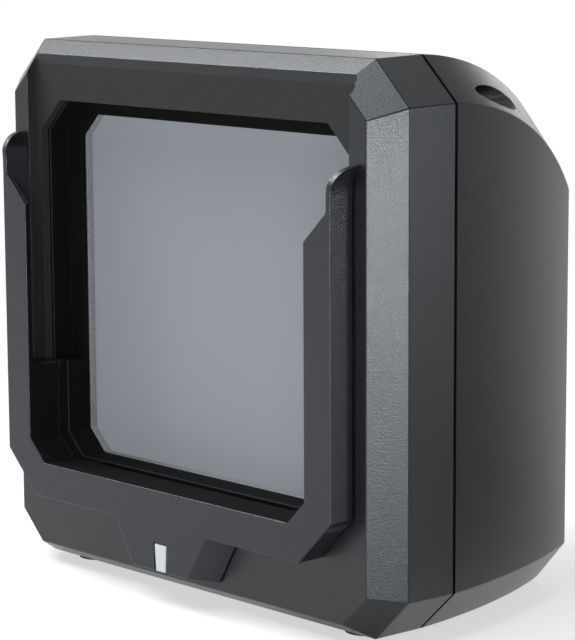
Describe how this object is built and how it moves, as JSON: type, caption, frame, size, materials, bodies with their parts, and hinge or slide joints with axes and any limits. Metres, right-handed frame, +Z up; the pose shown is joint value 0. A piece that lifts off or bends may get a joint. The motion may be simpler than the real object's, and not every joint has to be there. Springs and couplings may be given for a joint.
{
  "type": "passport reader",
  "caption": "Boxy cut-corner passport reader with a U-shaped document guide over a recessed scanning window, a status light and rear sockets.",
  "frame": {"origin": "bottom centre of the bounding box, on the surface that the feet stand on", "axes": "+X to the right seen from the front, +Y to the back, +Z up"},
  "size_m": [0.156, 0.093, 0.149],
  "materials": {
    "housing_plastic": "matte, fine grain, leather grain on the front bevel",
    "guide_plastic": "matte, fine grain",
    "black_plastic": "matte black",
    "grey_seal": "closed-cell foam",
    "window_glass": "tinted, polished",
    "light_pipe": "milky, smooth",
    "foot_rubber": "matte",
    "zinc_steel": "zinc plated",
    "circuit_board": "solder mask",
    "chip_plastic": "moulded black",
    "bare_aluminium": "extruded",
    "opal_plastic": "opal",
    "anodised_barrel": "black anodised",
    "lens_coating": "coated lens",
    "ribbon_film": "amber film",
    "wire_insulation": "soft sleeve"
  },
  "bodies": {
    "root": {"document_guide": "guide_plastic", "status_light_pipe": "light_pipe", "status_light_board": "circuit_board", "status_light_cable": "wire_insulation", "front_shell": "housing_plastic", "rear_shell": "housing_plastic", "window_hood": "black_plastic", "window_seal": "grey_seal", "window_glass": "window_glass", "glass_clamp": "black_plastic", "antenna_board": "circuit_board", "antenna_cable": "wire_insulation", "light_shroud": "black_plastic", "led_board_left": "circuit_board", "led_board_right": "circuit_board", "led_diffuser_left": "opal_plastic", "led_diffuser_right": "opal_plastic", "led_cable_left": "wire_insulation", "led_cable_right": "wire_insulation", "camera_board": "circuit_board", "camera_ribbon": "ribbon_film", "image_sensor": "chip_plastic", "lens_holder": "black_plastic", "lens_barrel": "anodised_barrel", "lens_glass": "lens_coating", "main_board": "circuit_board", "processor": "chip_plastic", "heat_sink": "bare_aluminium", "buzzer": "chip_plastic", "usb_socket": "zinc_steel", "power_socket": "chip_plastic", "case_screw_1": "zinc_steel", "case_screw_2": "zinc_steel", "case_screw_3": "zinc_steel", "case_screw_4": "zinc_steel", "guide_screw_1": "zinc_steel", "guide_screw_2": "zinc_steel", "guide_screw_3": "zinc_steel", "guide_screw_4": "zinc_steel", "clamp_screw_1": "zinc_steel", "clamp_screw_2": "zinc_steel", "clamp_screw_3": "zinc_steel", "clamp_screw_4": "zinc_steel", "shroud_screw_1": "zinc_steel", "shroud_screw_2": "zinc_steel", "shroud_screw_3": "zinc_steel", "shroud_screw_4": "zinc_steel", "camera_screw_1": "zinc_steel", "camera_screw_2": "zinc_steel", "camera_screw_3": "zinc_steel", "camera_screw_4": "zinc_steel", "main_board_screw_1": "zinc_steel", "main_board_screw_2": "zinc_steel", "main_board_screw_3": "zinc_steel", "main_board_screw_4": "zinc_steel", "rubber_foot_front_left": "foot_rubber", "rubber_foot_front_right": "foot_rubber", "rubber_foot_rear_left": "foot_rubber", "rubber_foot_rear_right": "foot_rubber"}
  },
  "joints": []
}
